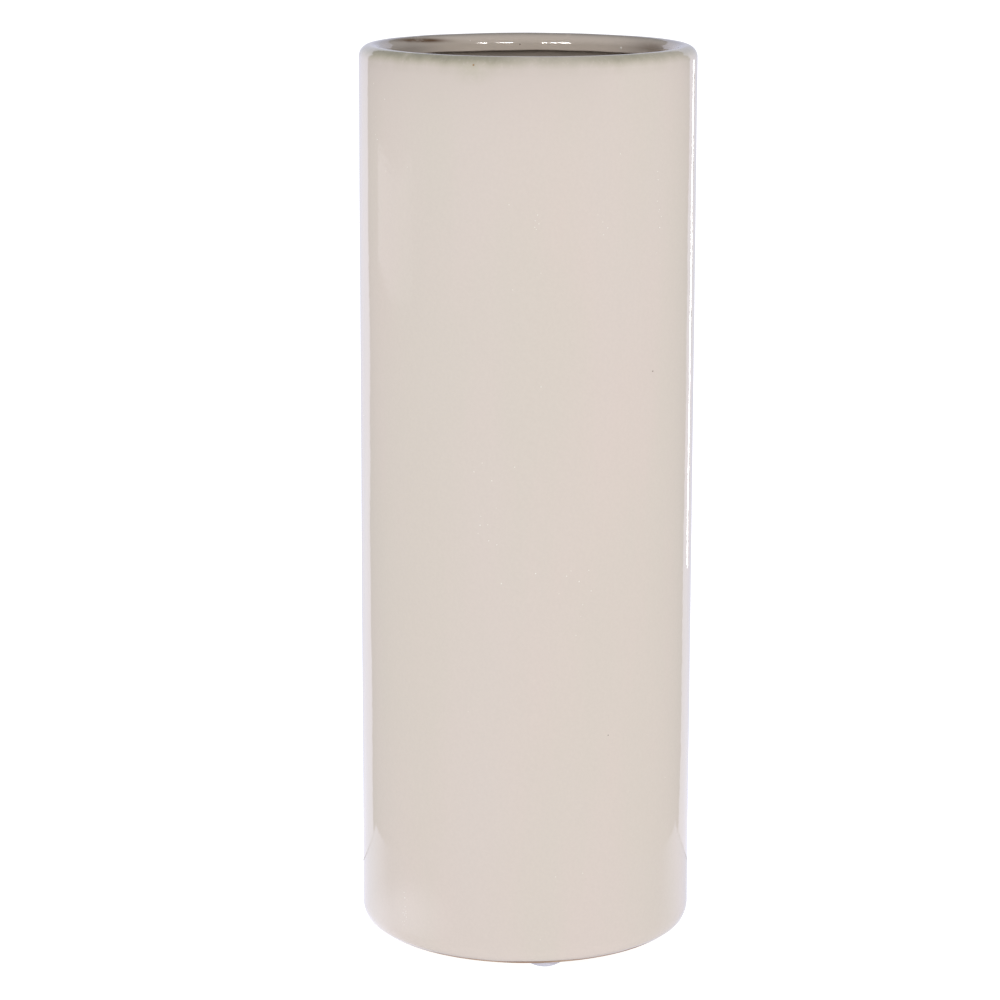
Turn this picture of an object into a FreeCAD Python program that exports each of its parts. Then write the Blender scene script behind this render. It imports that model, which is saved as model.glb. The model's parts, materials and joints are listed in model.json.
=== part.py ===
"""Glazed stoneware cylinder vase on four clear stick-on bumpers, as a parametric document.

The fired clay body is one slip-cast piece whose wall turns inwards at the lip. Three glass coats are
fused to it: one outside and over the lip, one that lines the inside, and one in the recess of the foot.
The origin is on the table under the middle of the vase, +Z is up, and -Y is the front.
"""

import FreeCAD
import Part
import Sketcher
import math
import os
from FreeCAD import Vector

# alias, value, what it sizes (millimetres, degrees or a count)
DRIVING_SIZES = [
    ("vase_height", 350.0, "foot to the top of the glazed lip"),
    ("vase_diameter", 130.0, "outside of the glazed wall"),
    ("clay_wall", 5.8, "clay thickness of the side wall"),
    ("clay_floor", 8.0, "foot plane to the clay floor inside"),
    ("lip_overhang", 2.2, "how far the clay lip stands in past the wall"),
    ("lip_depth", 5.8, "clay thickness of the lip, top to underside"),
    ("lip_outer_round", 4.0, "clay radius at the outside of the lip"),
    ("lip_crest", 0.5, "flat on top of the lip, between its two rounds"),
    ("lip_ledge", 0.4, "flat under the lip, between its edge and the cove above the wall"),
    ("floor_cove", 8.0, "clay radius between the wall and the floor inside"),
    ("heel_round", 8.9, "clay radius between the wall and the foot"),
    ("foot_recess_depth", 2.0, "how far the middle of the base is set up from the foot plane"),
    ("foot_recess_round", 1.0, "radius of both corners of the recess"),
    ("outside_coat", 0.5, "glaze thickness outside"),
    ("inside_coat", 0.4, "glaze thickness inside"),
    ("base_coat", 0.4, "glaze thickness in the foot recess"),
    ("outside_coat_edge", 0.35, "radius of the outside glaze's edge under the lip"),
    ("glaze_line", 2.0, "height above the foot plane where the outside glaze stops"),
    ("base_coat_inset", 1.6, "bare clay between the recess wall and the base glaze"),
    ("bumper_count", 4, "bumpers round the foot ring"),
    ("bumper_first_angle", 11.0, "first bumper, from the front towards +X"),
    ("bumper_diameter", 14.0, "widest part of a bumper"),
    ("bumper_height", 3.2, "crown to adhesive"),
    ("bumper_dome_radius", 12.2, "radius of the domed underside"),
    ("bumper_crown", 5.2, "width of the flat that stands on the table"),
    ("bumper_outer_gap", 0.2, "flat of the foot ring left outside a bumper"),
    ("bumper_inner_gap", 1.0, "flat of the foot ring left inside a bumper"),
    ("adhesive_thickness", 0.3, "film between a bumper and the clay"),
    ("adhesive_inset", 0.2, "how far the film stays inside the bumper's edge"),
]

# places worked out from the driving sizes, above the foot plane or out from the vase's axis
CLAY_RADIUS = "(Sizes.vase_diameter / 2 - Sizes.outside_coat)"
CLAY_TOP = "(Sizes.vase_height - Sizes.outside_coat)"
BORE_RADIUS = f"({CLAY_RADIUS} - Sizes.clay_wall)"
MOUTH_RADIUS = f"({BORE_RADIUS} - Sizes.lip_overhang)"
LIP_UNDERSIDE = f"({CLAY_TOP} - Sizes.lip_depth)"
LIP_INNER_ROUND = "(Sizes.clay_wall + Sizes.lip_overhang - Sizes.lip_outer_round - Sizes.lip_crest)"
LIP_COVE = "(Sizes.lip_overhang - Sizes.lip_ledge)"
FOOT_RADIUS = f"({CLAY_RADIUS} - Sizes.heel_round)"
STAND_HEIGHT = "(Sizes.bumper_height + Sizes.adhesive_thickness)"
BUMPER_PITCH_RADIUS = f"({FOOT_RADIUS} - Sizes.bumper_outer_gap - Sizes.bumper_diameter / 2)"
RECESS_RADIUS = f"({BUMPER_PITCH_RADIUS} - Sizes.bumper_diameter / 2 - Sizes.bumper_inner_gap)"
DOME_CENTRE = "sqrt(Sizes.bumper_dome_radius ^ 2 - (Sizes.bumper_crown / 2) ^ 2)"

PARTS_FOLDER = "parts"
LEAST_CUT = 1.0  # cubic millimetres that a cutting feature has to take away

doc = FreeCAD.newDocument("CylinderVase")


def add_sizes():
    """The spreadsheet of driving sizes, one row each: name, value, note."""
    sheet = doc.addObject("Spreadsheet::Sheet", "Sizes")
    for row, (alias, value, note) in enumerate(DRIVING_SIZES, start=1):
        sheet.set(f"A{row}", alias)
        sheet.set(f"B{row}", str(value))
        sheet.set(f"C{row}", note)
        sheet.setAlias(f"B{row}", alias)
    doc.recompute()
    return sheet


def new_body(label):
    """An empty PartDesign body with the sub-part's name."""
    body = doc.addObject("PartDesign::Body", label)
    body.Label = label
    return body


def upright_sketch(body, name):
    """A sketch on the body's own XZ plane: its x runs out from the axis and its y runs up."""
    sketch = body.newObject("Sketcher::SketchObject", name)
    plane = next(f for f in body.Origin.OriginFeatures if f.Role == "XZ_Plane")
    sketch.AttachmentSupport = [(plane, "")]
    sketch.MapMode = "FlatFace"
    doc.recompute()
    return sketch


def bind(sketch, constraint, name, expression):
    """Adds a dimension to the sketch and ties it to the spreadsheet."""
    index = sketch.addConstraint(constraint)
    sketch.renameConstraint(index, name)
    sketch.setExpression(f"Constraints.{name}", expression)


def evaluate(holder, expression):
    """The number that a spreadsheet expression gives now."""
    found = holder.evalExpression(expression)
    return float(getattr(found, "Value", found))


def draw_outline(sketch, corners):
    """A closed outline of upright and level lines through (x, z, round), each an expression.

    A round of None leaves the corner sharp. Each line gets one bound distance, each round a bound radius
    and tangency at both ends, so the outline is fully fixed by the spreadsheet.
    """
    points = [Vector(evaluate(sketch, x), evaluate(sketch, z), 0) for x, z, _ in corners]
    rounds = [evaluate(sketch, r) if r else 0.0 for _, _, r in corners]
    count = len(points)
    along = [(points[(i + 1) % count] - points[i]).normalize() for i in range(count)]
    leaves = [points[i] + along[i] * rounds[i] for i in range(count)]
    arrives = [points[i] - along[i - 1] * rounds[i] for i in range(count)]

    lines = []
    for i in range(count):
        edge = Part.LineSegment(leaves[i], arrives[(i + 1) % count])
        lines.append(sketch.addGeometry(edge, False))
    for i in range(count):
        before, after = lines[i - 1], lines[i]
        if not rounds[i]:
            sketch.addConstraint(Sketcher.Constraint("Coincident", before, 2, after, 1))
            continue
        centre = arrives[i] + along[i] * rounds[i]
        left_turn = along[i - 1].cross(along[i]).z > 0
        first, last = (arrives[i], leaves[i]) if left_turn else (leaves[i], arrives[i])
        angles = [math.atan2(p.y - centre.y, p.x - centre.x) for p in (first, last)]
        circle = Part.Circle(centre, Vector(0, 0, 1), rounds[i])
        arc = sketch.addGeometry(Part.ArcOfCircle(circle, *angles), False)
        start, end = (1, 2) if left_turn else (2, 1)
        sketch.addConstraint(Sketcher.Constraint("Tangent", before, 2, arc, start))
        sketch.addConstraint(Sketcher.Constraint("Tangent", arc, end, after, 1))
        bind(sketch, Sketcher.Constraint("Radius", arc, rounds[i]), f"round_{i}", corners[i][2])
    for i, line in enumerate(lines):
        x, z, _ = corners[i]
        upright = abs(along[i].x) < abs(along[i].y)
        direction, kind = ("Vertical", "DistanceX") if upright else ("Horizontal", "DistanceY")
        place, expression = (points[i].x, x) if upright else (points[i].y, z)
        sketch.addConstraint(Sketcher.Constraint(direction, line))
        if expression == "0":
            on_axis = -2 if upright else -1
            sketch.addConstraint(Sketcher.Constraint("PointOnObject", line, 1, on_axis))
        else:
            bind(sketch, Sketcher.Constraint(kind, -1, 1, line, 1, place), f"line_{i}", expression)


def turn(body, kind, name, corners):
    """Revolves an outline about the body's upright axis: a Revolution adds, a Groove cuts."""
    sketch = upright_sketch(body, f"{name}_outline")
    draw_outline(sketch, corners)
    feature = body.newObject(f"PartDesign::{kind}", name)
    feature.Profile = sketch
    feature.ReferenceAxis = (sketch, ["V_Axis"])
    feature.Angle = 360
    sketch.Visibility = False
    doc.recompute()
    return feature


def raise_to_foot_plane(body):
    """The vase's own pieces are drawn from the foot plane, which stands on the bumpers."""
    body.setExpression("Placement.Base.z", STAND_HEIGHT)
    return body


def make_stoneware_body():
    """The fired clay: recessed foot, rounded heel, straight wall and a lip that turns inwards."""
    body = new_body("stoneware_body")
    recess = "Sizes.foot_recess_depth"
    corners = [
        ("0", recess, None),
        (RECESS_RADIUS, recess, "Sizes.foot_recess_round"),
        (RECESS_RADIUS, "0", "Sizes.foot_recess_round / 2"),
        (CLAY_RADIUS, "0", "Sizes.heel_round"),
        (CLAY_RADIUS, CLAY_TOP, "Sizes.lip_outer_round"),
        (MOUTH_RADIUS, CLAY_TOP, LIP_INNER_ROUND),
        (MOUTH_RADIUS, LIP_UNDERSIDE, None),
        (BORE_RADIUS, LIP_UNDERSIDE, LIP_COVE),
        (BORE_RADIUS, "Sizes.clay_floor", "Sizes.floor_cove"),
        ("0", "Sizes.clay_floor", None),
    ]
    turn(body, "Revolution", "cast_form", corners)
    return raise_to_foot_plane(body)


def make_outside_glaze():
    """The coat from the glaze line at the heel, up the wall, over the lip and down to its lower edge."""
    body = new_body("outside_glaze")
    coat = "Sizes.outside_coat"
    lower_edge = f"{LIP_UNDERSIDE} - Sizes.inside_coat"
    start_radius = f"{FOOT_RADIUS} - Sizes.heel_round / 2"
    corners = [
        (start_radius, f"-{coat}", None),
        (f"{CLAY_RADIUS} + {coat}", f"-{coat}", f"Sizes.heel_round + {coat}"),
        (f"{CLAY_RADIUS} + {coat}", f"{CLAY_TOP} + {coat}", f"Sizes.lip_outer_round + {coat}"),
        (f"{MOUTH_RADIUS} - {coat}", f"{CLAY_TOP} + {coat}", f"{LIP_INNER_ROUND} + {coat}"),
        (f"{MOUTH_RADIUS} - {coat}", lower_edge, "Sizes.outside_coat_edge"),
        (MOUTH_RADIUS, lower_edge, None),
        (MOUTH_RADIUS, CLAY_TOP, LIP_INNER_ROUND),
        (CLAY_RADIUS, CLAY_TOP, "Sizes.lip_outer_round"),
        (CLAY_RADIUS, "0", "Sizes.heel_round"),
        (start_radius, "0", None),
    ]
    coated = turn(body, "Revolution", "coat", corners)
    volume_before = coated.Shape.Volume
    clear_below = f"-2 * {coat}"
    clear_radius = f"Sizes.vase_diameter / 2 + {coat}"
    wiped = turn(body, "Groove", "wiped_foot", [
        ("0", clear_below, None),
        (clear_radius, clear_below, None),
        (clear_radius, "Sizes.glaze_line", None),
        ("0", "Sizes.glaze_line", None),
    ])
    if volume_before - wiped.Shape.Volume < LEAST_CUT:
        raise RuntimeError("the foot was not wiped clear of glaze")
    return raise_to_foot_plane(body)


def make_inside_glaze():
    """The lining: floor, wall and the underside of the lip as far as the outside coat's edge."""
    body = new_body("inside_glaze")
    coat = "Sizes.inside_coat"
    corners = [
        ("0", "Sizes.clay_floor", None),
        (BORE_RADIUS, "Sizes.clay_floor", "Sizes.floor_cove"),
        (BORE_RADIUS, LIP_UNDERSIDE, LIP_COVE),
        (MOUTH_RADIUS, LIP_UNDERSIDE, None),
        (MOUTH_RADIUS, f"{LIP_UNDERSIDE} - {coat}", None),
        (f"{BORE_RADIUS} - {coat}", f"{LIP_UNDERSIDE} - {coat}", f"{LIP_COVE} - {coat}"),
        (f"{BORE_RADIUS} - {coat}", f"Sizes.clay_floor + {coat}", f"Sizes.floor_cove - {coat}"),
        ("0", f"Sizes.clay_floor + {coat}", None),
    ]
    turn(body, "Revolution", "lining", corners)
    return raise_to_foot_plane(body)


def make_base_glaze():
    """The round patch of glaze left in the foot recess when the ring was wiped."""
    body = new_body("base_glaze")
    radius = f"{RECESS_RADIUS} - Sizes.base_coat_inset"
    lower = "Sizes.foot_recess_depth - Sizes.base_coat"
    corners = [
        ("0", lower, None),
        (radius, lower, "Sizes.base_coat / 2"),
        (radius, "Sizes.foot_recess_depth", None),
        ("0", "Sizes.foot_recess_depth", None),
    ]
    turn(body, "Revolution", "patch", corners)
    return raise_to_foot_plane(body)


def place_round_foot(piece, number, level):
    """Sets a bumper's piece on the foot ring, counted from the front towards +X."""
    angle = f"(Sizes.bumper_first_angle + {number} * 360 / Sizes.bumper_count)"
    piece.setExpression("Placement.Base.x", f"{BUMPER_PITCH_RADIUS} * sin({angle} * 1 deg)")
    piece.setExpression("Placement.Base.y", f"-{BUMPER_PITCH_RADIUS} * cos({angle} * 1 deg)")
    piece.setExpression("Placement.Base.z", level)
    return piece


def round_disc(label, radius, height):
    """An upright cylinder on the origin, sized by two expressions."""
    disc = doc.addObject("Part::Cylinder", label)
    disc.Label = label
    disc.setExpression("Radius", radius)
    disc.setExpression("Height", height)
    return disc


def make_bumper(number):
    """A clear moulded disc with a domed underside, whose flat crown stands on the table."""
    label = f"bumper_{number + 1}"
    disc = round_disc(f"{label}_disc", "Sizes.bumper_diameter / 2", "Sizes.bumper_height")
    dome = doc.addObject("Part::Sphere", f"{label}_dome")
    dome.setExpression("Radius", "Sizes.bumper_dome_radius")
    dome.setExpression("Placement.Base.z", DOME_CENTRE)
    moulding = doc.addObject("Part::MultiCommon", label)
    moulding.Label = label
    moulding.Shapes = [disc, dome]
    return place_round_foot(moulding, number, "0")


def make_bumper_adhesive(number):
    """The round film that holds a bumper to the clay."""
    radius = "Sizes.bumper_diameter / 2 - Sizes.adhesive_inset"
    film = round_disc(f"bumper_adhesive_{number + 1}", radius, "Sizes.adhesive_thickness")
    return place_round_foot(film, number, "Sizes.bumper_height")


def check_document():
    """Stops on any object that failed to build and any sub-part without one sound solid."""
    for item in doc.Objects:
        if "Invalid" in item.State or "Error" in item.State:
            raise RuntimeError(f"{item.Label} did not build: {item.State}")
    for piece in sub_parts:
        shape = piece.Shape
        if shape.isNull() or not shape.isValid() or len(shape.Solids) != 1:
            raise RuntimeError(f"{piece.Label} is not one valid solid")


sizes = add_sizes()
sub_parts = [make_stoneware_body(), make_outside_glaze(), make_inside_glaze(), make_base_glaze()]
for bumper in range(int(sizes.bumper_count)):
    sub_parts.append(make_bumper(bumper))
    sub_parts.append(make_bumper_adhesive(bumper))
doc.recompute()
check_document()

os.makedirs(PARTS_FOLDER, exist_ok=True)
for piece in sub_parts:
    piece.Shape.exportStep(f"{PARTS_FOLDER}/{piece.Label}.step")
    box = piece.Shape.optimalBoundingBox()
    print(f"{piece.Label}: volume {piece.Shape.Volume:.1f}, z {box.ZMin:.2f} to {box.ZMax:.2f}")
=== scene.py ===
import bpy
import json
import math
import numpy as np
from mathutils import Matrix, Vector


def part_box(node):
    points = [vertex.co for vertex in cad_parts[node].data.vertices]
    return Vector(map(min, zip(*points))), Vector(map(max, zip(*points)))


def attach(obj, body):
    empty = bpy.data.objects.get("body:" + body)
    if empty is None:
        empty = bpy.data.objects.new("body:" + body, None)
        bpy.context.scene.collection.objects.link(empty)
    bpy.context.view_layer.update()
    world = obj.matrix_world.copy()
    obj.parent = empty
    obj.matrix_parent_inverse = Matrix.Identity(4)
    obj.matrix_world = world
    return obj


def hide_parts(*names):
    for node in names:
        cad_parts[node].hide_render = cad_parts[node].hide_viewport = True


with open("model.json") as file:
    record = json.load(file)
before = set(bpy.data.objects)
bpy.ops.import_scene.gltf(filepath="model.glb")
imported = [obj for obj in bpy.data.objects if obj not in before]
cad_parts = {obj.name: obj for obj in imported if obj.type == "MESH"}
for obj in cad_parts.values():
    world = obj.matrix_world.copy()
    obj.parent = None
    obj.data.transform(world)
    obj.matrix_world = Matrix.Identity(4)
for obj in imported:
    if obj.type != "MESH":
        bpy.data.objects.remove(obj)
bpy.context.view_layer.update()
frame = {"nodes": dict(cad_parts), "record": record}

mm = 0.001
scene = bpy.context.scene


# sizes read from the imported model

def nodeRadii(name):
    # smallest and largest distance from the vase's axis on one node
    mesh = frame["nodes"][name].data
    points = np.zeros(len(mesh.vertices) * 3)
    mesh.vertices.foreach_get("co", points)
    points = points.reshape(-1, 3)
    reach = np.hypot(points[:, 0], points[:, 1])
    return reach.min(), reach.max()


clayLow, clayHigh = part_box("stoneware_body")
coatLow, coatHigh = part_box("outside_glaze")
liningLow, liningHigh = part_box("inside_glaze")
patchLow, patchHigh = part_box("base_glaze")

footHeight = clayLow.z            # the foot plane, held up by the bumpers
clayTop = clayHigh.z
clayRadius = nodeRadii("stoneware_body")[1]
mouthRadius = nodeRadii("outside_glaze")[0]
boreRadius = nodeRadii("inside_glaze")[1]
coatThickness = coatHigh.z - clayTop
mouthClay = mouthRadius + coatThickness
floorMount = next(m for m in frame["record"]["mounts"] if m["name"] == "inside_floor")
liningThickness = floorMount["pos_m"][2] - liningLow.z
lipUnderside = liningHigh.z       # clay under the turned-in lip
print("frame read: vase", round(coatHigh.z / mm, 1), "mm tall, clay radius", round(clayRadius / mm, 2))


# small helpers for node materials

def linearColor(red, green, blue):
    # a colour picked on a screen, as scene light
    def toLinear(part):
        part = part / 255
        return part / 12.92 if part <= 0.04045 else ((part + 0.055) / 1.055) ** 2.4
    return (toLinear(red), toLinear(green), toLinear(blue), 1.0)


def newFinish(name):
    finish = bpy.data.materials.new(name)
    finish.use_nodes = True
    tree = finish.node_tree
    return finish, tree, tree.nodes["Principled BSDF"]


def addNode(tree, kind, values=None, **settings):
    node = tree.nodes.new(kind)
    for name, value in settings.items():
        setattr(node, name, value)
    for socket, value in (values or {}).items():
        if isinstance(value, bpy.types.NodeSocket):
            tree.links.new(value, node.inputs[socket])
        else:
            node.inputs[socket].default_value = value
    return node


def calc(tree, operation, first, second=0.0):
    return addNode(tree, "ShaderNodeMath", {0: first, 1: second}, operation=operation).outputs[0]


def spread(tree, value, fromEnds, toEnds, smooth=False):
    # carries a value from one range to another, held at both ends
    ends = {"Value": value, "From Min": fromEnds[0], "From Max": fromEnds[1],
            "To Min": toEnds[0], "To Max": toEnds[1]}
    kind = "SMOOTHSTEP" if smooth else "LINEAR"
    return addNode(tree, "ShaderNodeMapRange", ends, interpolation_type=kind).outputs[0]


def blendColors(tree, amount, under, over):
    values = {"Factor": amount, "A": under, "B": over}
    return addNode(tree, "ShaderNodeMix", values, data_type="RGBA").outputs["Result"]


def placeOn(tree, upright=1.0):
    # Object coordinates; under 1 draws a pattern out upwards, over 1 flattens it
    where = addNode(tree, "ShaderNodeTexCoord").outputs["Object"]
    return addNode(tree, "ShaderNodeMapping", {"Vector": where, "Scale": (1, 1, upright)}).outputs[0]


def noise(tree, place, scale, detail, roughness=0.5):
    values = {"Vector": place, "Scale": scale, "Detail": detail, "Roughness": roughness}
    return addNode(tree, "ShaderNodeTexNoise", values).outputs[0]


def cloud(tree, place, scale, detail=3.0, roughness=0.5, low=0.35, high=0.65):
    # soft noise, with low and high carried to 0 and 1
    return spread(tree, noise(tree, place, scale, detail, roughness), (low, high), (0, 1), True)


def painted(tree, name):
    # a value painted on the piece's points
    return addNode(tree, "ShaderNodeAttribute", attribute_name=name).outputs["Fac"]


def giveGloss(tree, shader, value, ends):
    tree.links.new(spread(tree, value, (0, 1), ends), shader.inputs["Roughness"])


def giveBump(tree, shader, height, strength, depth):
    bump = addNode(tree, "ShaderNodeBump", {"Height": height, "Strength": strength, "Distance": depth})
    tree.links.new(bump.outputs[0], shader.inputs["Normal"])


# glaze and clay finishes; a pattern gives its scale, detail, roughness, and the noise taken as 0 and as 1
glazeIor = 1.55

creamGlaze = {
    "body": linearColor(213, 203, 196),
    "warm": linearColor(217, 202, 195),
    "cool": linearColor(209, 203, 193),
    # painted shade just under the lip
    "shoulder": linearColor(203, 193, 187),
    "thinAtLip": linearColor(141, 138, 124),
    "thinEdge": linearColor(177, 171, 154),
    "crest": linearColor(134, 128, 122),
    "mouth": linearColor(196, 185, 176),
    # painted light low on the far side inside the lip
    "mouthDeep": linearColor(214, 202, 190),
    # painted shade inside the lip towards its sides
    "mouthSide": linearColor(170, 161, 154),
    "rust": linearColor(92, 70, 50),
    "stain": linearColor(186, 182, 164),
    "foot": linearColor(128, 104, 84),
    "flow": 0.22,                # how far the clouds are drawn out down the wall
    "warmShare": 0.6,
    "warmCloud": (14,),
    "coolShare": 0.5,
    "coolCloud": (30, 4),
    "grain": (0.985, 1.01),      # darkest and lightest grain
    "grainNoise": (900.0, 2.0),
    "grainEnds": (0.3, 0.7),
    "crestSpeckle": (260, 3, 0.5, 0.0, 0.45),
    "patchFlow": 0.45,
    "lipPatches": (260, 5, 0.65, 0.3, 0.7),
    "patchShare": (0.65, 1.0),
    "streakFlow": 0.6,
    "lipStreaks": (900, 3, 0.6, 0.1, 0.5),
    "rustFlow": 3,
    "rustGrain": (120, 4, 0.6, 0.1, 0.5),
    "stainGrain": (350, 4, 0.6, 0.2, 0.6),
    "gloss": (0.02, 0.04),
    "glossCloud": (60,),
    "peel": 0.05,                # faint orange peel
    "peelNoise": (420.0, 1.0),
    "peelDepth": 0.4 * mm,
}


def makeCreamGlaze():
    finish, tree, shader = newFinish("creamGlaze")
    look = creamGlaze
    flow = placeOn(tree, look["flow"])
    even = placeOn(tree)
    warm = calc(tree, "MULTIPLY", cloud(tree, flow, *look["warmCloud"]), look["warmShare"])
    color = blendColors(tree, warm, look["body"], look["warm"])
    cool = calc(tree, "MULTIPLY", cloud(tree, flow, *look["coolCloud"]), look["coolShare"])
    color = blendColors(tree, cool, color, look["cool"])
    grain = spread(tree, noise(tree, even, *look["grainNoise"]), look["grainEnds"], look["grain"])
    color = addNode(tree, "ShaderNodeHueSaturation", {"Color": color, "Value": grain}).outputs[0]
    # painted shade just under the lip
    color = blendColors(tree, painted(tree, "shoulderTone"), color, look["shoulder"])
    # inside of the lip and the crest, with painted light low on the far side and painted shade towards the
    # sides
    color = blendColors(tree, painted(tree, "mouthTone"), color, look["mouth"])
    color = blendColors(tree, painted(tree, "deepTone"), color, look["mouthDeep"])
    color = blendColors(tree, painted(tree, "sideTone"), color, look["mouthSide"])
    speckled = cloud(tree, even, *look["crestSpeckle"])
    crest = calc(tree, "MULTIPLY", painted(tree, "crestTone"), speckled)
    color = blendColors(tree, crest, color, look["crest"])
    # the glaze breaks over the lip: thin, greenish and patchy
    patchy = cloud(tree, placeOn(tree, look["patchFlow"]), *look["lipPatches"])
    patchy = spread(tree, patchy, (0, 1), look["patchShare"])
    streaks = cloud(tree, placeOn(tree, look["streakFlow"]), *look["lipStreaks"])
    fringe = calc(tree, "MULTIPLY", painted(tree, "fringeTone"), streaks)
    color = blendColors(tree, fringe, color, look["thinEdge"])
    thin = calc(tree, "MULTIPLY", painted(tree, "breakTone"), patchy)
    color = blendColors(tree, thin, color, look["thinAtLip"])
    rustGrain = cloud(tree, placeOn(tree, look["rustFlow"]), *look["rustGrain"])
    rusty = calc(tree, "MULTIPLY", painted(tree, "rustTone"), rustGrain)
    color = blendColors(tree, rusty, color, look["rust"])
    stainGrain = cloud(tree, even, *look["stainGrain"])
    stain = calc(tree, "MULTIPLY", painted(tree, "stainTone"), stainGrain)
    color = blendColors(tree, stain, color, look["stain"])
    color = blendColors(tree, painted(tree, "footTone"), color, look["foot"])
    tree.links.new(color, shader.inputs["Base Color"])
    giveGloss(tree, shader, cloud(tree, even, *look["glossCloud"]), look["gloss"])
    giveBump(tree, shader, noise(tree, even, *look["peelNoise"]), look["peel"], look["peelDepth"])
    shader.inputs["IOR"].default_value = glazeIor
    return finish


liningGlaze = {
    "body": linearColor(172, 161, 151),
    "dark": linearColor(161, 151, 141),
    "flow": 0.15,
    "runs": (70, 4),
    "gloss": (0.09, 0.16),
    "glossCloud": (50,),
    "peel": 0.12,
    "peelNoise": (260.0, 2.0),
    "peelDepth": 0.6 * mm,
}


def makeLiningGlaze():
    finish, tree, shader = newFinish("liningGlaze")
    look = liningGlaze
    flow = placeOn(tree, look["flow"])
    even = placeOn(tree)
    color = blendColors(tree, cloud(tree, flow, *look["runs"]), look["body"], look["dark"])
    tree.links.new(color, shader.inputs["Base Color"])
    giveGloss(tree, shader, cloud(tree, even, *look["glossCloud"]), look["gloss"])
    giveBump(tree, shader, noise(tree, even, *look["peelNoise"]), look["peel"], look["peelDepth"])
    shader.inputs["IOR"].default_value = glazeIor
    return finish


bareClay = {
    "body": linearColor(186, 160, 136),
    "toasted": linearColor(156, 126, 102),
    "grit": linearColor(96, 74, 58),
    "toast": (55, 5),
    "gritScale": 900.0,
    "gritEdge": (0.12, 0.2),
    "gritPatches": (400, 2, 0.5, 0.5, 0.6),
    "roughness": 0.85,
    "sand": 0.5,
    "sandNoise": (1500.0, 6.0, 0.7),
    "sandDepth": 0.3 * mm,
}


def makeBareClay():
    finish, tree, shader = newFinish("bareClay")
    look = bareClay
    place = placeOn(tree)
    color = blendColors(tree, cloud(tree, place, *look["toast"]), look["body"], look["toasted"])
    grains = addNode(tree, "ShaderNodeTexVoronoi", {"Vector": place, "Scale": look["gritScale"]})
    specks = spread(tree, grains.outputs["Distance"], look["gritEdge"], (1.0, 0.0))
    sparse = calc(tree, "MULTIPLY", specks, cloud(tree, place, *look["gritPatches"]))
    color = blendColors(tree, sparse, color, look["grit"])
    tree.links.new(color, shader.inputs["Base Color"])
    shader.inputs["Roughness"].default_value = look["roughness"]
    giveBump(tree, shader, noise(tree, place, *look["sandNoise"]), look["sand"], look["sandDepth"])
    return finish


clearRubber = {
    "light": linearColor(232, 232, 246),
    "dark": linearColor(226, 226, 242),
    "tint": (300, 2),
    "gloss": (0.22, 0.3),
    "glossCloud": (120, 2),
    "ior": 1.49,
    "clearness": 0.25,
}


def makeClearRubber():
    finish, tree, shader = newFinish("clearRubber")
    look = clearRubber
    place = placeOn(tree)
    color = blendColors(tree, cloud(tree, place, *look["tint"]), look["light"], look["dark"])
    tree.links.new(color, shader.inputs["Base Color"])
    giveGloss(tree, shader, cloud(tree, place, *look["glossCloud"]), look["gloss"])
    shader.inputs["IOR"].default_value = look["ior"]
    shader.inputs["Transmission Weight"].default_value = look["clearness"]
    return finish


# the plainer finishes: two tones, the pattern's scale and detail, roughness, how clear
mottled = {
    "adhesiveFilm": (linearColor(232, 232, 236), linearColor(214, 214, 220), 700, 3, 0.35, 0.4),
    # the blister finish is near-white: real glaze blisters, their colour a painted glint
    "blisterGlaze": (linearColor(246, 243, 238), linearColor(232, 226, 218), 900, 2, 0.1, 0.0),
    "ironSpeck": (linearColor(116, 92, 74), linearColor(84, 66, 54), 1500, 3, 0.2, 0.0),
    "rustSpot": (linearColor(172, 144, 108), linearColor(150, 120, 84), 1500, 3, 0.2, 0.0),
}


def makeMottled(name):
    light, dark, scale, detail, roughness, clearness = mottled[name]
    finish, tree, shader = newFinish(name)
    color = blendColors(tree, cloud(tree, placeOn(tree), scale, detail), light, dark)
    tree.links.new(color, shader.inputs["Base Color"])
    shader.inputs["Roughness"].default_value = roughness
    shader.inputs["Transmission Weight"].default_value = clearness
    return finish


finishes = {
    "cream": makeCreamGlaze(),
    "lining": makeLiningGlaze(),
    "clay": makeBareClay(),
    "rubber": makeClearRubber(),
    "adhesive": makeMottled("adhesiveFilm"),
    "blister": makeMottled("blisterGlaze"),
    "iron": makeMottled("ironSpeck"),
    "rust": makeMottled("rustSpot"),
}
print("finishes made:", len(finishes))


# turned shells with a slightly uneven surface

def arcPoints(centreR, centreZ, radius, start, end, step):
    # points on an arc with the way the surface faces, angles in degrees from level and outwards
    count = max(2, int(math.ceil(abs(math.radians(end - start)) * radius / step)) + 1)
    bends = np.radians(np.linspace(start, end, count))
    return [(centreR + radius * math.cos(b), centreZ + radius * math.sin(b), math.cos(b), math.sin(b))
            for b in bends]


def straightPoints(fromR, fromZ, toR, toZ, facing, step):
    count = max(2, int(math.ceil(math.hypot(toR - fromR, toZ - fromZ) / step)) + 1)
    return [(fromR + (toR - fromR) * k, fromZ + (toZ - fromZ) * k, facing[0], facing[1])
            for k in np.linspace(0, 1, count)]


def joinRuns(*runs):
    outline = []
    for run in runs:
        for point in run:
            if not outline or math.hypot(point[0] - outline[-1][0], point[1] - outline[-1][1]) > 1e-7:
                outline.append(point)
    return np.array(outline)


def alongOutline(outline):
    steps = np.hypot(np.diff(outline[:, 0]), np.diff(outline[:, 1]))
    return np.concatenate([[0], np.cumsum(steps)])


glazeRun = {
    "slope": 0.0045,             # how much the surface leans in and out
    "waves": 26,
    "seed": 11,
    "fewestAround": 4,
    "mostAround": 26,
    "shortest": 0.035,
    "longest": 0.26,
}


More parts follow.
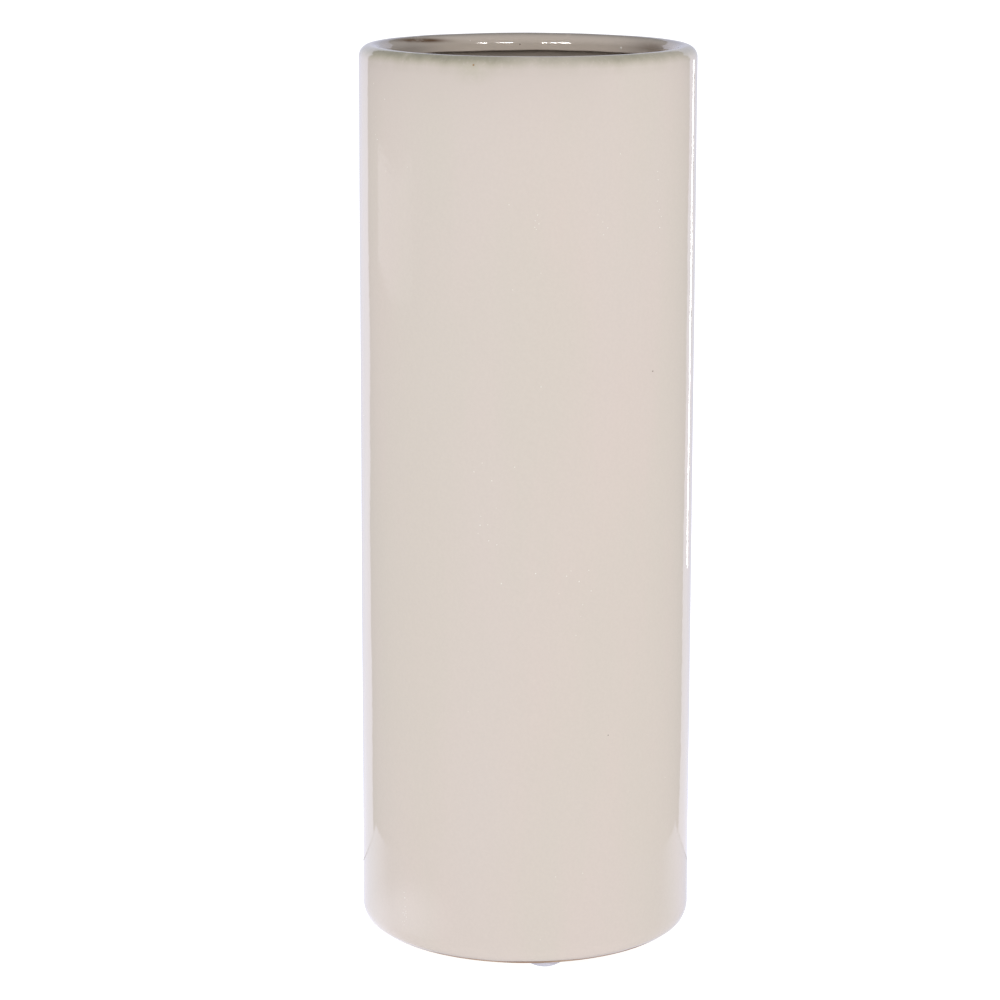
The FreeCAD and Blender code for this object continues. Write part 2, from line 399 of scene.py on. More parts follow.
def unevenness(turn, height, seedShift=0):
    # how far the fired glaze stands in or out, a sum of waves that close round the vase
    rng = np.random.default_rng(glazeRun["seed"] + seedShift)
    total = np.zeros(np.broadcast(turn, height).shape)
    share = glazeRun["slope"] * math.sqrt(2 / glazeRun["waves"])
    for wave in range(glazeRun["waves"]):
        count = rng.integers(glazeRun["fewestAround"], glazeRun["mostAround"])
        rise = rng.uniform(glazeRun["shortest"], glazeRun["longest"])
        phase = rng.uniform(0, 2 * math.pi)
        lean = rng.choice([-1, 1])
        depth = share * clayRadius / count
        total = total + depth * np.sin(count * turn + lean * 2 * math.pi * height / rise + phase)
    return total


def ringWaves(turn, *waves):
    # a line that wavers and closes round the vase: how many waves, how strong, where they start
    return sum(strength * np.sin(count * turn + start) for count, strength, start in waves)


def softStep(value, low, high):
    k = np.clip((value - low) / (high - low), 0, 1)
    return k * k * (3 - 2 * k)


def bell(value, middle, width):
    return np.exp(-((value - middle) / width) ** 2)


def meshFromGrid(name, ringR, ringZ, turns, closeLoop, paints=None):
    # rings of points round the axis; a ring of no radius becomes one pole point
    ringCount, aroundCount = ringR.shape
    isPole = [ringR[ring].max() < 1e-9 for ring in range(ringCount)]
    starts, points = [], []
    for ring in range(ringCount):
        starts.append(len(points))
        if isPole[ring]:
            points.append((0.0, 0.0, float(ringZ[ring].mean())))
            continue
        for k in range(aroundCount):
            reach = ringR[ring, k]
            points.append((reach * math.sin(turns[k]), -reach * math.cos(turns[k]), ringZ[ring, k]))
    faces = []
    for ring in range(ringCount if closeLoop else ringCount - 1):
        above = (ring + 1) % ringCount
        for k in range(aroundCount):
            k2 = (k + 1) % aroundCount
            a, b = starts[ring] + k, starts[ring] + k2
            c, d = starts[above] + k2, starts[above] + k
            if isPole[ring] and isPole[above]:
                continue
            if isPole[ring]:
                faces.append((starts[ring], c, d))
            elif isPole[above]:
                faces.append((a, b, starts[above]))
            else:
                faces.append((a, b, c, d))
    mesh = bpy.data.meshes.new(name)
    mesh.from_pydata(points, [], faces)
    for label, values in (paints or {}).items():
        layer = mesh.attributes.new(label, "FLOAT", "POINT")
        rows = [values[ring][:1] if isPole[ring] else values[ring] for ring in range(ringCount)]
        flat = np.concatenate(rows)
        layer.data.foreach_set("value", flat.astype(np.float32))
    mesh.polygons.foreach_set("use_smooth", [True] * len(mesh.polygons))
    mesh.update()
    return mesh


def addPiece(mesh, finish, stands=()):
    piece = bpy.data.objects.new(mesh.name, mesh)
    scene.collection.objects.link(piece)
    mesh.materials.clear()
    mesh.materials.append(finish)
    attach(piece, "root")
    if stands:
        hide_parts(*stands)
    return piece


def faceOutwards(mesh):
    # turns every face of a closed shell outwards
    volume = 0.0
    mesh.calc_loop_triangles()
    for tri in mesh.loop_triangles:
        a, b, c = (mesh.vertices[i].co for i in tri.vertices)
        volume += a.dot(b.cross(c)) / 6
    if volume < 0:
        mesh.flip_normals()
    return abs(volume)


turns = np.linspace(0, 2 * math.pi, 360, endpoint=False)   # 0 is the front, growing towards +X


# the outside coat: heel, wall, lip and its lower edge inside
coatShape = {
    "heelRound": 8.9 * mm,       # clay radii, as fired
    "lipOuterRound": 4.0 * mm,
    "lipInnerRound": 3.5 * mm,
    "edgeRound": 0.4 * mm,
    "thinAtFoot": 0.07 * mm,
    "thickensOver": 3.0 * mm,
    "settlesBy": 0.02 * mm,
    "footLineWander": 0.22 * mm,
    "footLineRise": 0.8 * mm,
    "riseStarts": (34, 44),      # degrees from the front
    "riseEnds": (52.5, 54),
    "footFade": 5 * mm,          # how far up the foot line's wander reaches
    "edgeDroop": 0.12 * mm,
    "edgeSits": -0.05 * mm,
    "edgeFade": 3 * mm,
    "rippleEnds": 2 * mm,
    "settles": (4 * mm, 12 * mm),
    "backEvery": 6,              # one ring against the clay for this many outside
}
# how far apart the coat's rings lie
coatSteps = {
    "heel": 0.5 * mm,
    "wall": 3.2 * mm,
    "lip": 0.32 * mm,
    "crest": 0.25 * mm,
    "inside": 0.4 * mm,
    "edge": 0.06 * mm,
}

# the next two go by degrees from the front towards +X: how strongly the glaze breaks over the lip
breakAround = {
    -160: 0.75, -130: 0.6, -95: 0.7, -70: 0.6, -56: 1.0, -48: 0.9, -46: 0.55, -44: 0.9, -34: 1.0, -22: 0.9,
    -12: 0.74, 0: 0.34, 8: 0.42, 14: 0.36, 24: 0.58, 38: 0.7, 50: 0.5, 66: 0.45, 90: 0.7, 120: 0.55,
    150: 0.8, 180: 0.6,
}
# and how strongly shade is painted just under the lip
shoulderShadeAround = {-90: 1.1, -60: 1.2, -40: 0.85, 0: 0.8, 20: 0.65, 32: 0.3, 52: 0.35, 70: 0.8, 180: 0.8}

# where tones start and end, in mm along the coat: past the crest into the mouth, or down the outside
lipTones = {
    "mouth": (-0.2, 2.2),
    "crestAt": 1.1,
    "crestWidth": 1.7,
    "breakStarts": (-0.2, 0.8),
    "breakEnds": (2.4, 5.4),
    "breakRagged": 0.22,
    "fringeStarts": (-0.5, 1.0),
    "fringeEnds": (3.4, 7.6),
    "fringeMore": 0.2,
    "deep": (3.0, 6.5),
    "deepWidth": 60,             # degrees round the back
    "side": (32, 56),            # degrees from the back
    "rightSide": 0.6,
    "shoulderStarts": (1, 5),
    "shoulderFrom": 6,
    "shoulderFade": 13,
    "stainAt": -18,              # degrees from the front
    "stainWidth": 5,
    "stainStarts": (4.5, 6.0),
    "stainEnds": (8.0, 12.0),
    "stainShare": 0.55,
    "foot": (0.1, 0.6),          # up from the glaze line
}

# brown streaks inside the lip: degrees, spread in degrees, mm past the crest, width in mm,
# how many mm it falls for each degree, and how strong
rustStreaks = {
    "left": (-131, 13, 3.3, 0.8, 0.065, 1.5),
    "right": (119, 11, 5.2, 2.0, 0.0, 0.55),
}


def stepInMm(value, ends):
    return softStep(value, ends[0] * mm, ends[1] * mm)


def lookUp(degrees, table):
    return np.interp(degrees, list(table), list(table.values()), period=360)


def paintCoat(turn, past, along):
    # past runs from the crest, negative outside and positive inside; along runs from the foot
    tones = lipTones
    degrees = np.degrees(turn)
    degrees = np.where(degrees > 180, degrees - 360, degrees)
    fromBack = 180 - np.abs(degrees)
    ragged = ringWaves(turn, (19, 1, 1.0), (41, 0.7, 0.5), (67, 0.5, 0.0))
    down = tones["breakRagged"] * mm * ragged - past
    patch = lookUp(degrees, breakAround)
    paints = {}
    paints["mouthTone"] = stepInMm(past, tones["mouth"])
    paints["crestTone"] = bell(past, tones["crestAt"] * mm, tones["crestWidth"] * mm)
    paints["breakTone"] = (np.clip(patch, 0, 1) * stepInMm(down, tones["breakStarts"])
                           * (1 - stepInMm(down, tones["breakEnds"])))
    paints["fringeTone"] = (np.clip(patch + tones["fringeMore"], 0, 1) * stepInMm(down, tones["fringeStarts"])
                            * (1 - stepInMm(down, tones["fringeEnds"])))
    # painted light low on the far side inside the lip
    paints["deepTone"] = stepInMm(past, tones["deep"]) * bell(fromBack, 0, tones["deepWidth"])
    # painted shade inside the lip towards its sides, stronger on the left
    paints["sideTone"] = (stepInMm(past, tones["mouth"]) * softStep(fromBack, *tones["side"])
                          * np.where(degrees < 0, 1.0, tones["rightSide"]))
    rust = 0
    for angle, width, depth, thickness, fall, share in rustStreaks.values():
        offAngle = degrees - angle
        middle = (depth - fall * offAngle) * mm
        rust = rust + share * bell(offAngle, 0, width) * bell(past, middle, thickness * mm)
    paints["rustTone"] = np.clip(rust, 0, 1)
    stain = bell(degrees, tones["stainAt"], tones["stainWidth"]) * stepInMm(-past, tones["stainStarts"])
    paints["stainTone"] = tones["stainShare"] * stain * (1 - stepInMm(-past, tones["stainEnds"]))
    # painted shade just under the lip, fading down the wall
    fade = np.exp(-np.clip(-past - tones["shoulderFrom"] * mm, 0, 1) / (tones["shoulderFade"] * mm))
    paints["shoulderTone"] = lookUp(degrees, shoulderShadeAround) * fade * stepInMm(-past, tones["shoulderStarts"])
    paints["footTone"] = 1 - stepInMm(along, tones["foot"])
    return paints


def makeOutsideCoat():
    shape, steps = coatShape, coatSteps
    footLine = coatLow.z
    heelZ = footHeight + shape["heelRound"]
    heelR = clayRadius - shape["heelRound"]
    lowest = math.degrees(math.asin((heelZ - footLine) / shape["heelRound"]))
    outerZ = clayTop - shape["lipOuterRound"]
    innerZ = clayTop - shape["lipInnerRound"]
    innerR = mouthClay + shape["lipInnerRound"]
    outerR = clayRadius - shape["lipOuterRound"]
    edgeZ = lipUnderside - liningThickness
    edgeTop = edgeZ + shape["edgeRound"]
    outline = joinRuns(
        arcPoints(heelR, heelZ, shape["heelRound"], -lowest, 0, steps["heel"]),
        straightPoints(clayRadius, heelZ, clayRadius, outerZ, (1, 0), steps["wall"]),
        arcPoints(outerR, outerZ, shape["lipOuterRound"], 0, 90, steps["lip"]),
        straightPoints(outerR, clayTop, innerR, clayTop, (0, 1), steps["crest"]),
        arcPoints(innerR, innerZ, shape["lipInnerRound"], 90, 180, steps["lip"]),
        straightPoints(mouthClay, innerZ, mouthClay, edgeTop, (-1, 0), steps["inside"]),
        straightPoints(mouthClay, edgeTop, mouthClay, edgeZ, (-1, 0), steps["edge"]),
    )
    reach = alongOutline(outline)
    total = reach[-1]
    baseR, baseZ, faceR, faceZ = (outline[:, k][:, None] for k in range(4))
    turn = turns[None, :]
    along = reach[:, None]
    crestR = (outerR + innerR) / 2
    crestAt = reach[np.argmin(np.hypot(outline[:, 0] - crestR, outline[:, 1] - clayTop))]

    # the coat starts thin at the foot and rounds off at its edge inside
    start = softStep(along, 0, shape["thickensOver"])
    thick = shape["thinAtFoot"] + (coatThickness - shape["thinAtFoot"]) * start
    fromEnd = np.clip((total - along) / shape["edgeRound"], 0, 1)
    thick = thick * np.sqrt(np.clip(1 - (1 - fromEnd) ** 2, 0.0, 1))
    ripple = unevenness(turn, baseZ) * start * softStep(total - along, 0, shape["rippleEnds"])
    ripple = ripple - shape["settlesBy"] * softStep(along, *shape["settles"])
    surfaceR = baseR + faceR * (thick + ripple)
    surfaceZ = baseZ + faceZ * (thick + ripple)

    # the glaze line and the lower edge of the lip wander a little
    wander = shape["footLineWander"] * ringWaves(turn, (5, 1, 1.1), (11, 0.7, 0.4), (23, 0.5, 2.0))
    facing = np.degrees(turn)
    # bare clay shows a little higher on the right of the foot
    raised = softStep(facing, *shape["riseStarts"]) * (1 - softStep(facing, *shape["riseEnds"]))
    wander = wander + shape["footLineRise"] * raised
    nearFoot = 1 - softStep(along, 0, shape["footFade"])
    droop = shape["edgeDroop"] * ringWaves(turn, (3, 1, 0.6), (8, 0.6, 2.2), (17, 0.4, 0.0))
    droop = droop + shape["edgeSits"]
    nearEdge = softStep(along, total - shape["edgeFade"], total)

    def settle(radius, height):
        radius = radius + nearFoot * wander * math.sin(math.radians(lowest))
        height = height + nearFoot * wander * math.cos(math.radians(lowest)) + nearEdge * droop
        return radius, height

    surfaceR, surfaceZ = settle(surfaceR, surfaceZ)
    # the side against the clay, with fewer rings
    some = np.arange(0, len(reach), shape["backEvery"])
    keep = np.unique(np.append(some, len(reach) - 1))[::-1]
    backR, backZ = settle(baseR + 0 * turn, baseZ + 0 * turn)
    ringR = np.concatenate([surfaceR, backR[keep]])
    ringZ = np.concatenate([surfaceZ, backZ[keep]])

    full = {}
    for label, values in paintCoat(turn, along - crestAt, along).items():
        values = np.broadcast_to(values, surfaceR.shape)
        full[label] = np.concatenate([values, values[keep]])
    mesh = meshFromGrid("outsideCoat", ringR, ringZ, turns, True, full)
    volume = faceOutwards(mesh)
    print("outside coat:", len(mesh.polygons), "faces,", round(volume * 1e6, 1), "ml")
    return mesh


outsideCoat = addPiece(makeOutsideCoat(), finishes["cream"], ["outside_glaze"])


# the lining: floor, wall and the underside of the lip
liningShape = {
    "floorCove": 8.0 * mm,
    "lipCove": 1.8 * mm,
    "floorPuddle": 0.25 * mm,
    "puddleFades": (20 * mm, 46 * mm),
    "rippleShare": 0.8,
    "rippleGrows": (5 * mm, 30 * mm),
    "rippleEnds": 3 * mm,
    "seedShift": 5,
}
# how far apart the lining's rings lie
liningSteps = {"floor": 3.5 * mm, "cove": 0.8 * mm, "wall": 5 * mm, "lipCove": 0.25 * mm, "lip": 0.2 * mm}


def makeLining():
    shape, steps = liningShape, liningSteps
    floorZ = liningLow.z
    bend = shape["floorCove"]
    under = shape["lipCove"]
    outline = joinRuns(
        straightPoints(0, floorZ, boreRadius - bend, floorZ, (0, 1), steps["floor"]),
        arcPoints(boreRadius - bend, floorZ + bend, bend, -90, 0, steps["cove"]),
        straightPoints(boreRadius, floorZ + bend, boreRadius, lipUnderside - under, (1, 0), steps["wall"]),
        arcPoints(boreRadius - under, lipUnderside - under, under, 0, 90, steps["lipCove"]),
        straightPoints(boreRadius - under, lipUnderside, mouthClay, lipUnderside, (0, 1), steps["lip"]),
    )
    # the glazed face looks the other way from the clay it lies on
    outline[:, 2:] *= -1
    flat = outline[:, 0] <= boreRadius - bend + 1e-9
    low = outline[:, 1] < floorZ + 1e-9
    outline[flat & low, 2:] = (0, 1)
    baseR, baseZ, faceR, faceZ = (outline[:, k][:, None] for k in range(4))
    turn = turns[None, ::2]
    along = alongOutline(outline)[:, None]
    ripple = unevenness(turn, baseZ, shape["seedShift"]) * shape["rippleShare"]
    ripple = ripple * softStep(baseR, *shape["rippleGrows"])
    ripple = ripple * softStep(along[-1] - along, 0, shape["rippleEnds"])
    puddle = shape["floorPuddle"] * (1 - softStep(baseR, *shape["puddleFades"])) * (baseZ < floorZ + 1e-9)
    surfaceR = baseR + faceR * (liningThickness + ripple)
    surfaceZ = baseZ + faceZ * (liningThickness + ripple) + puddle
    surfaceR[0] = 0
    ringR = np.concatenate([surfaceR, (baseR + 0 * turn)[::-1]])
    ringZ = np.concatenate([surfaceZ, (baseZ + 0 * turn)[::-1]])
    mesh = meshFromGrid("liningCoat", ringR, ringZ, turns[::2], False)
    volume = faceOutwards(mesh)
    print("lining:", len(mesh.polygons), "faces,", round(volume * 1e6, 1), "ml")
    return mesh


addPiece(makeLining(), finishes["lining"], ["inside_glaze"])


# the patch of glaze in the foot recess
patchShape = {
    "edgeShare": 0.25,           # how thick it is at its rim
    "rimSharpness": 14,
    "pooling": 0.06 * mm,
    "poolWaves": 60,
}


def makeBasePatch():
    shape = patchShape
    radius = nodeRadii("base_glaze")[1]
    thickness = patchHigh.z - patchLow.z
    shares = np.concatenate([np.linspace(0, 0.9, 14), [0.94, 0.965, 0.985, 0.996, 1.0]])[:, None]
    turn = turns[None, ::2]
    reach = shares * radius * (1 + ringWaves(turn, (5, 0.006, 0.7), (13, 0.004, 0.0)))
    swell = np.sqrt(np.clip(1 - shares ** shape["rimSharpness"], 0, 1))
    depth = thickness * (shape["edgeShare"] + (1 - shape["edgeShare"]) * swell)
    pool = shape["pooling"] * np.sin(4 * turn + shape["poolWaves"] * reach) * shares
    low = patchHigh.z - (depth + pool) * (shares < 1)
    ringR = np.concatenate([reach, reach[::-1]])
    ringZ = np.concatenate([low, np.full_like(reach, patchHigh.z)])
    mesh = meshFromGrid("footPatch", ringR, ringZ, turns[::2], False)
    faceOutwards(mesh)
    return mesh


addPiece(makeBasePatch(), finishes["cream"], ["base_glaze"])


# the clay body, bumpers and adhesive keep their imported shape

def refinish(name, finish):
    node = frame["nodes"][name]
    node.data.materials.clear()
    node.data.materials.append(finish)


refinish("stoneware_body", finishes["clay"])
for name in frame["nodes"]:
    if name.startswith("bumper_adhesive"):
        refinish(name, finishes["adhesive"])
    elif name.startswith("bumper"):
        refinish(name, finishes["rubber"])
print("clay and bumpers refinished")


# firing marks, made by node trees that stand flattened domes on points; the pale domes' near-white colour is
# painted glint

def openTree(title, numbers):
    tree = bpy.data.node_groups.new(title, "GeometryNodeTree")
    for label, kind in {"Geometry": "Geometry", **numbers}.items():
        tree.interface.new_socket(label, in_out="INPUT", socket_type="NodeSocket" + kind)
    tree.interface.new_socket("Geometry", in_out="OUTPUT", socket_type="NodeSocketGeometry")
    return tree, addNode(tree, "NodeGroupInput").outputs


def standDomes(tree, given, points, rotation, size, rounds, finish):
    dome = addNode(tree, "GeometryNodeMeshIcoSphere", {"Radius": 1.0, "Subdivisions": rounds})
    squash = addNode(tree, "ShaderNodeCombineXYZ", {"X": 1.0, "Y": 1.0, "Z": given["Flatness"]})
    flatDome = addNode(tree, "GeometryNodeTransform",
                       {"Geometry": dome.outputs[0], "Scale": squash.outputs[0]})
    marks = addNode(tree, "GeometryNodeInstanceOnPoints",
                    {"Points": points, "Instance": flatDome.outputs[0], "Rotation": rotation, "Scale": size})
    real = addNode(tree, "GeometryNodeRealizeInstances", {"Geometry": marks.outputs[0]})
    smooth = addNode(tree, "GeometryNodeSetShadeSmooth", {"Geometry": real.outputs[0]})
    dressed = addNode(tree, "GeometryNodeSetMaterial", {"Geometry": smooth.outputs[0], "Material": finish})
    tree.links.new(dressed.outputs[0], addNode(tree, "NodeGroupOutput").inputs["Geometry"])


def scatterTree(title, finish):
    # strews domes over the faces of a mesh, most where its points have the highest chance
    tree, given = openTree(title, {"Per Square Metre": "Float", "Smallest": "Float", "Largest": "Float",
                                   "Flatness": "Float", "Seed": "Int"})
    where = addNode(tree, "GeometryNodeInputNamedAttribute", {"Name": "markChance"}, data_type="FLOAT")
    chance = calc(tree, "MULTIPLY", where.outputs[0], given["Per Square Metre"])
    scatter = addNode(tree, "GeometryNodeDistributePointsOnFaces",
                      {"Mesh": given["Geometry"], "Density": chance, "Seed": given["Seed"]}).outputs
    limits = {"Min": given["Smallest"], "Max": given["Largest"], "Seed": given["Seed"]}
    size = addNode(tree, "FunctionNodeRandomValue", limits, data_type="FLOAT").outputs["Value"]
    standDomes(tree, given, scatter["Points"], scatter["Rotation"], size, 2, finish)
    return tree


def spotTree(title, finish):
    # stands a dome on every loose point, facing the way the point says
    tree, given = openTree(title, {"Flatness": "Float"})
    facing = addNode(tree, "GeometryNodeInputNamedAttribute", {"Name": "facing"}, data_type="FLOAT_VECTOR")
    size = addNode(tree, "GeometryNodeInputNamedAttribute", {"Name": "size"}, data_type="FLOAT")
    turned = addNode(tree, "FunctionNodeAlignRotationToVector", {"Vector": facing.outputs[0]}, axis="Z")
    standDomes(tree, given, given["Geometry"], turned.outputs[0], size.outputs[0], 3, finish)
    return tree


def growMarks(name, source, tree, wanted, finish):
    # runs the node tree once and keeps its result as a plain mesh
    carrier = bpy.data.objects.new(name + "Carrier", source)
    scene.collection.objects.link(carrier)
    grower = carrier.modifiers.new("grow", "NODES")
    grower.node_group = tree
    for item in tree.interface.items_tree:
        if item.in_out == "INPUT" and item.name in wanted:
            grower[item.identifier] = wanted[item.name]
    seen = carrier.evaluated_get(bpy.context.evaluated_depsgraph_get())
    mesh = bpy.data.meshes.new_from_object(seen)
    mesh.name = name
    bpy.data.objects.remove(carrier)
    piece = addPiece(mesh, finish)
    print(name + ":", len(mesh.polygons), "faces")
    return piece


# each group: degrees from the front towards +X, height over the table, spread in degrees and in mm, how thick
blisterSpots = {
    "shoulder": (26, 0.288, 2.0, 9, 1.8),
    "edge": (50, 0.294, 1.3, 17, 3.0),
    "front": (4, 0.2935, 1.6, 3, 3.5),
    "middle": (-13, 0.180, 3.5, 14, 1.0),
    "low": (-10, 0.153, 1.5, 4, 1.0),
    "side": (15, 0.153, 5.0, 9, 1.2),
    "heel": (-46.5, 0.0215, 1.0, 8, 13.0),
    "upperLeft": (-58, 0.324, 3.0, 11, 1.0),
    "back": (160, 0.210, 6.0, 25, 1.0),
    "backLow": (-140, 0.110, 5.0, 18, 1.0),
}
# glaze blisters scattered as small domes, near-white as painted glints
blisters = {
    "Per Square Metre": 52000.0,
    "Smallest": 0.13 * mm,
    "Largest": 0.27 * mm,
    "Flatness": 0.35,
    "Seed": 4,
}
# blisters anywhere on the wall: how thick they lie, and how far they keep from its ends
blisterGround = {"chance": 0.006, "clearOfFoot": 4 * mm, "clearOfTop": 5 * mm, "outerShare": 0.3}


def makeMarks(name, spots, marks, finish):
    # a bare copy of the coat's outer face carries the chance of a mark
    source = outsideCoat.data.copy()
    source.name = name + "Source"
    points = np.zeros(len(source.vertices) * 3)
    source.vertices.foreach_get("co", points)
    points = points.reshape(-1, 3)
    high = points[:, 2]
    degrees = np.degrees(np.arctan2(points[:, 0], -points[:, 1]))
    chance = np.full(len(points), blisterGround["chance"])
    for angle, height, spreadAngle, spreadUp, share in spots.values():
        offAngle = (degrees - angle + 180) % 360 - 180
        chance += share * np.exp(-(offAngle / spreadAngle) ** 2 - ((high - height) / (spreadUp * mm)) ** 2)
    reach = np.hypot(points[:, 0], points[:, 1])
    outer = reach > clayRadius + blisterGround["outerShare"] * coatThickness
    outer &= high > coatLow.z + blisterGround["clearOfFoot"]
    outer &= high < clayTop - blisterGround["clearOfTop"]
    layer = source.attributes.new("markChance", "FLOAT", "POINT")
    layer.data.foreach_set("value", np.where(outer, chance, 0).astype(np.float32))
    return growMarks(name, source, scatterTree(name + "Tree", finish), marks, finish)


makeMarks("glazeBlisters", blisterSpots, blisters, finishes["blister"])

# single marks: degrees, distance from the axis and height in mm, way they face (180 inwards), radius in mm
singleMarks = {
    "ironSpecks": {
        "side": (47, 65.0, 234, 0, 0.24),
        "low": (29, 65.0, 95, 0, 0.2),
        "farLip": (183.3, 56.0, 349.2, 180, 0.3),
        "back": (-150, 65.0, 268, 0, 0.3),
        "backLow": (118, 65.0, 61, 0, 0.22),
    },
    "rustSpots": {
        "belowLip": (-18, 64.85, 350.5, 18, 0.36),
        "backLip": (142, 64.95, 349.6, 8, 0.3),
    },
    # pale domes inside the lip: painted glints
    "paleBlisters": {
        "farLip": (139, 56.0, 348.8, 180, 0.5),
        "leftLip": (-155.8, 56.25, 350.9, 159.5, 0.22),
    },
}


def makeSingleMarks(name, spots, finish, flatness):
    points, facings, sizes = [], [], []
    for angle, reach, height, tilt, size in spots.values():
        turn, lift = math.radians(angle), math.radians(tilt)
        outward = (math.sin(turn), -math.cos(turn))
        points.append((reach * mm * outward[0], reach * mm * outward[1], height * mm))
        facings.append((math.cos(lift) * outward[0], math.cos(lift) * outward[1], math.sin(lift)))
        sizes.append(size * mm)
    source = bpy.data.meshes.new(name + "Points")
    source.from_pydata(points, [], [])
    source.attributes.new("facing", "FLOAT_VECTOR", "POINT").data.foreach_set("vector", np.ravel(facings))
    source.attributes.new("size", "FLOAT", "POINT").data.foreach_set("value", np.array(sizes))
    piece = growMarks(name, source, spotTree(name + "Tree", finish), {"Flatness": flatness}, finish)
    return piece


makeSingleMarks("ironSpecks", singleMarks["ironSpecks"], finishes["iron"], 0.25)
makeSingleMarks("rustSpots", singleMarks["rustSpots"], finishes["rust"], 0.2)
makeSingleMarks("paleBlisters", singleMarks["paleBlisters"], finishes["blister"], 0.3)


# plain studio: floor, glowing cards, soft lights and camera
cardLift = 1 * mm                # the cards lie just over the floor
white = (1, 1, 1, 1)


def addStage(name, points, faces, finish, cameraSees=True, diffuseSees=True, glossSees=True):
    mesh = bpy.data.meshes.new(name)
    mesh.from_pydata(points, [], faces)
    mesh.materials.append(finish)
    thing = bpy.data.objects.new(name, mesh)
    scene.collection.objects.link(thing)
    thing.visible_camera = cameraSees
    thing.visible_diffuse = diffuseSees
    thing.visible_glossy = glossSees
    thing.visible_transmission = cameraSees
    thing.visible_shadow = False


def addCard(name, points, finish, faces=((0, 1, 2, 3),)):
    # a glowing card that shows only in reflections
    addStage(name, points, faces, finish, False, False, True)


def glowFinish(name, color, strength, oneSided=False):
    finish = bpy.data.materials.new(name)
    finish.use_nodes = True
    tree = finish.node_tree
    tree.nodes.remove(tree.nodes["Principled BSDF"])
    glow = addNode(tree, "ShaderNodeEmission", {"Color": color, "Strength": strength})
    result = glow.outputs[0]
    if oneSided:
        clear = addNode(tree, "ShaderNodeBsdfTransparent")
        side = addNode(tree, "ShaderNodeNewGeometry").outputs["Backfacing"]
        result = addNode(tree, "ShaderNodeMixShader", {0: side, 1: result, 2: clear.outputs[0]}).outputs[0]
    tree.links.new(result, tree.nodes["Material Output"].inputs[0])
    return finish, tree, glow


def wherePoint(tree):
    where = addNode(tree, "ShaderNodeTexCoord").outputs["Object"]
    return addNode(tree, "ShaderNodeSeparateXYZ", {"Vector": where}).outputs


floorLook = {"color": (0.3, 0.3, 0.3, 1), "roughness": 0.9, "glow": 0.9, "halfSide": 6.0}


def makeFloor():
    finish, tree, shader = newFinish("paleFloor")
    shader.inputs["Base Color"].default_value = floorLook["color"]
    shader.inputs["Roughness"].default_value = floorLook["roughness"]
    shader.inputs["Emission Color"].default_value = white
    shader.inputs["Emission Strength"].default_value = floorLook["glow"]
    half = floorLook["halfSide"]
    corners = [(-half, -half, 0), (half, -half, 0), (half, half, 0), (-half, half, 0)]
    addStage("floor", corners, [(0, 1, 2, 3)], finish, glossSees=False)


# the lit sheet behind the vase: near corners, and how far it spreads sideways for each metre back
backdrop = {
    "color": (0.92, 0.94, 1.12, 1.0),
    "middleGlow": 0.74,
    "edgeGlow": 1.1,
    "edgeLean": 0.75,
    "rightShare": 0.84,
    "dimsOver": 0.3,
    "nearLeft": (-0.161, 0.082),
    "nearRight": (0.162, 0.089),
    "spreadLeft": 0.84,
    "spreadRight": 0.738,
    "far": 2.0,
    "top": 1.2,
}


def makeBackdropCard():
    look = backdrop
    finish, tree, glow = glowFinish("backdropCard", look["color"], 1.0)
    # brighter towards its sides than straight behind the vase, and the right half a little dimmer
    at = wherePoint(tree)
    lean = calc(tree, "DIVIDE", calc(tree, "ABSOLUTE", at["X"]), at["Y"])
    shade = spread(tree, lean, (0.0, look["edgeLean"]), (look["middleGlow"], look["edgeGlow"]))
    rightDim = spread(tree, at["X"], (0.0, look["dimsOver"]), (1.0, look["rightShare"]))
    tree.links.new(calc(tree, "MULTIPLY", shade, rightDim), glow.inputs["Strength"])
    (leftX, leftY), (rightX, rightY) = look["nearLeft"], look["nearRight"]
    far, top = look["far"], look["top"]
    leftFar = leftX - look["spreadLeft"] * (far - leftY)
    rightFar = rightX + look["spreadRight"] * (far - rightY)
    points = [(leftX, leftY, cardLift), (rightX, rightY, cardLift), (rightFar, far, cardLift),
              (leftFar, far, cardLift), (rightFar, far, top), (leftFar, far, top)]
    addCard("backdropCard", points, finish, [(0, 1, 2, 3), (3, 2, 4, 5)])


# the board the vase stands on, with the sheet's glow repeated in it behind the vase
board = {
    "half": 0.182,
    "front": -0.35,
    "gap": 0.002,
    "glow": 0.3,
    "wedgeGlow": 0.75,
    "wedgeLean": (1.0, 2.6),
    "wedgeStarts": 0.03,
    "wedgeRight": 0.7,
    "rightFrom": (-0.02, 0.05),
    "gleamAt": (-0.1, -0.045),
    "gleamReach": (0.065, 0.07),
    "gleamGlow": 0.9,
}


